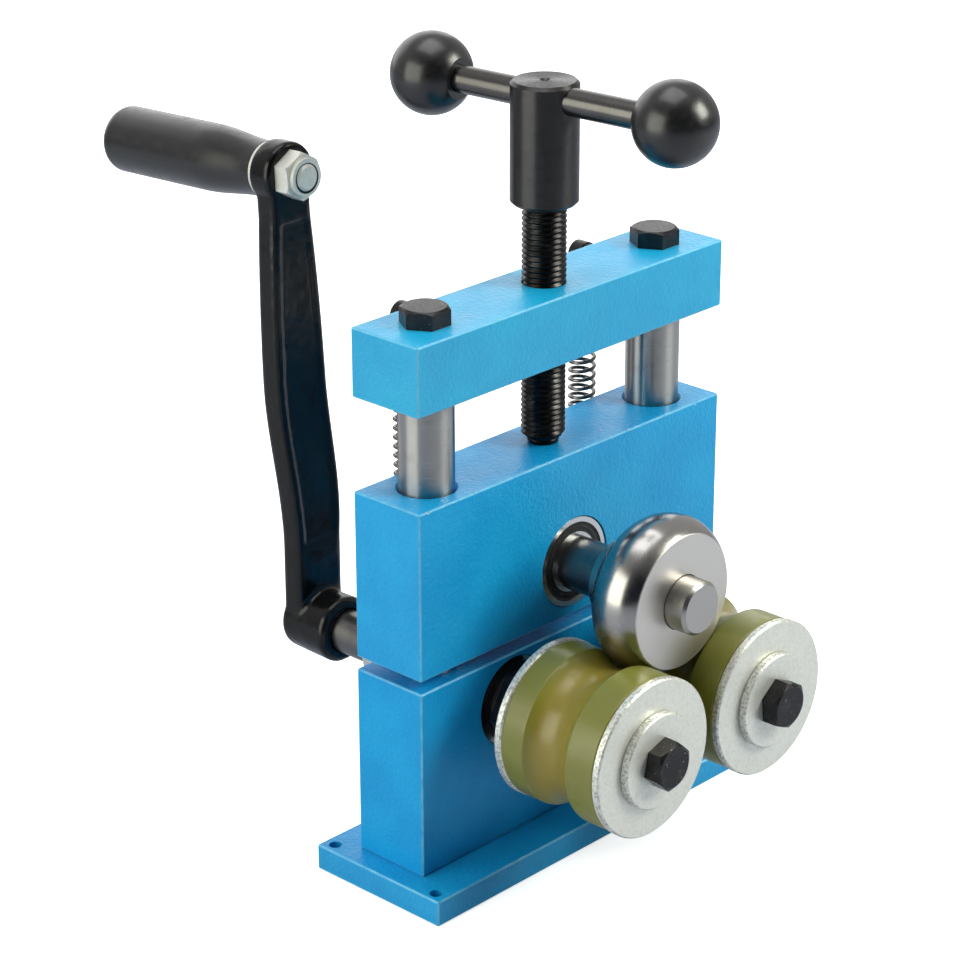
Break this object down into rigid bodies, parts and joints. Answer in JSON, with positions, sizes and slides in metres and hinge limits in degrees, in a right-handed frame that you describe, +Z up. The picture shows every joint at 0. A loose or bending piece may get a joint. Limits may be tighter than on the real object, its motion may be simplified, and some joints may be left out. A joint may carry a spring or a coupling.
{
  "type": "ring roller",
  "caption": "Bench ring roller: a crank turns a grooved roller in the lower block, and a screw presses a steel roller in the sliding upper block down between the grooved pair.",
  "frame": {"origin": "underside of the base plate, midway between the two guide posts", "axes": "+Z up, +X to the right seen from the roller side, -Y towards the rollers, +Y towards the crank"},
  "size_m": [0.178, 0.2795, 0.2932],
  "materials": {
    "painted_frame": "blue stoving paint, gloss",
    "ground_steel": "ground",
    "black_oxide_steel": "black oxide, satin",
    "zinc_plated_steel": "bright zinc plate",
    "spring_steel": "drawn wire",
    "bearing_steel": "ground and polished",
    "black_rubber": "moulded, matte",
    "roller_steel": "turned",
    "polyurethane": "cast polyurethane, olive, glossy",
    "enamelled_iron": "gloss black enamel",
    "black_phenolic": "moulded, polished"
  },
  "bodies": {
    "frame": {"base_plate": "painted_frame", "base_screws": "black_oxide_steel", "lower_block": "painted_frame", "left_post": "ground_steel", "right_post": "ground_steel", "top_bar": "painted_frame", "post_bolts": "black_oxide_steel", "top_spring_screws": "black_oxide_steel", "left_spring": "spring_steel", "right_spring": "spring_steel", "lower_outer_rings": "bearing_steel", "lower_seals": "black_rubber"},
    "upper_block": {"upper_block": "painted_frame", "block_spring_screws": "black_oxide_steel", "upper_outer_rings": "bearing_steel", "upper_seals": "black_rubber"},
    "steel_roller": {"upper_shaft": "ground_steel", "upper_inner_rings": "bearing_steel", "upper_circlip": "spring_steel", "steel_roller": "roller_steel", "roller_grub_screw": "black_oxide_steel"},
    "crank": {"left_shaft": "ground_steel", "left_inner_rings": "bearing_steel", "left_roller_bolt": "black_oxide_steel", "left_front_washer": "zinc_plated_steel", "left_front_disc": "zinc_plated_steel", "left_tyre": "polyurethane", "left_rear_disc": "zinc_plated_steel", "left_rear_washer": "zinc_plated_steel", "left_back_nut": "zinc_plated_steel", "crank_sleeve": "ground_steel", "sleeve_grub_screw": "black_oxide_steel", "crank_arm": "enamelled_iron", "crank_grub_screw": "black_oxide_steel", "grip_spindle": "zinc_plated_steel", "grip_nut": "zinc_plated_steel", "grip_washer": "zinc_plated_steel"},
    "grip": {"grip": "black_phenolic"},
    "right_roller": {"right_shaft": "ground_steel", "right_inner_rings": "bearing_steel", "right_circlip": "spring_steel", "right_roller_bolt": "black_oxide_steel", "right_front_washer": "zinc_plated_steel", "right_front_disc": "zinc_plated_steel", "right_tyre": "polyurethane", "right_rear_disc": "zinc_plated_steel", "right_rear_washer": "zinc_plated_steel", "right_back_nut": "zinc_plated_steel"},
    "pressing_screw": {"pressing_screw": "black_oxide_steel", "screw_hub": "black_oxide_steel"},
    "handle": {"tommy_bar": "ground_steel", "near_knob": "black_phenolic", "far_knob": "black_phenolic"}
  },
  "joints": [
    {"name": "lift", "type": "slide", "parent": "frame", "child": "upper_block", "axis": [0, 0, 1], "range_m": [0, 0.03], "deforming": ["left_spring", "right_spring"]},
    {"name": "screw_turn", "type": "hinge", "parent": "upper_block", "child": "pressing_screw", "pos_m": [0, 0, 0.2], "axis": [0, 0, 1], "range_deg": [0, 5400]},
    {"name": "handle_slide", "type": "slide", "parent": "pressing_screw", "child": "handle", "axis": [0.0819, -0.9966, 0], "range_m": [-0.0292, 0.0245]},
    {"name": "steel_roller_spin", "type": "hinge", "parent": "upper_block", "child": "steel_roller", "pos_m": [0, 0, 0.1075], "axis": [0, 1, 0], "continuous": true},
    {"name": "crank_turn", "type": "hinge", "parent": "frame", "child": "crank", "pos_m": [-0.0322, 0, 0.0632], "axis": [0, 1, 0], "continuous": true},
    {"name": "grip_spin", "type": "hinge", "parent": "crank", "child": "grip", "pos_m": [-0.0322, 0.09989, 0.2377], "axis": [0, 0.9988, -0.0489], "continuous": true},
    {"name": "right_roller_spin", "type": "hinge", "parent": "frame", "child": "right_roller", "pos_m": [0.0322, 0, 0.0632], "axis": [0, 1, 0], "continuous": true}
  ],
  "couplings": [
    {"joint": "screw_turn", "follows": "lift", "rad_per_m": 3141.6}
  ]
}
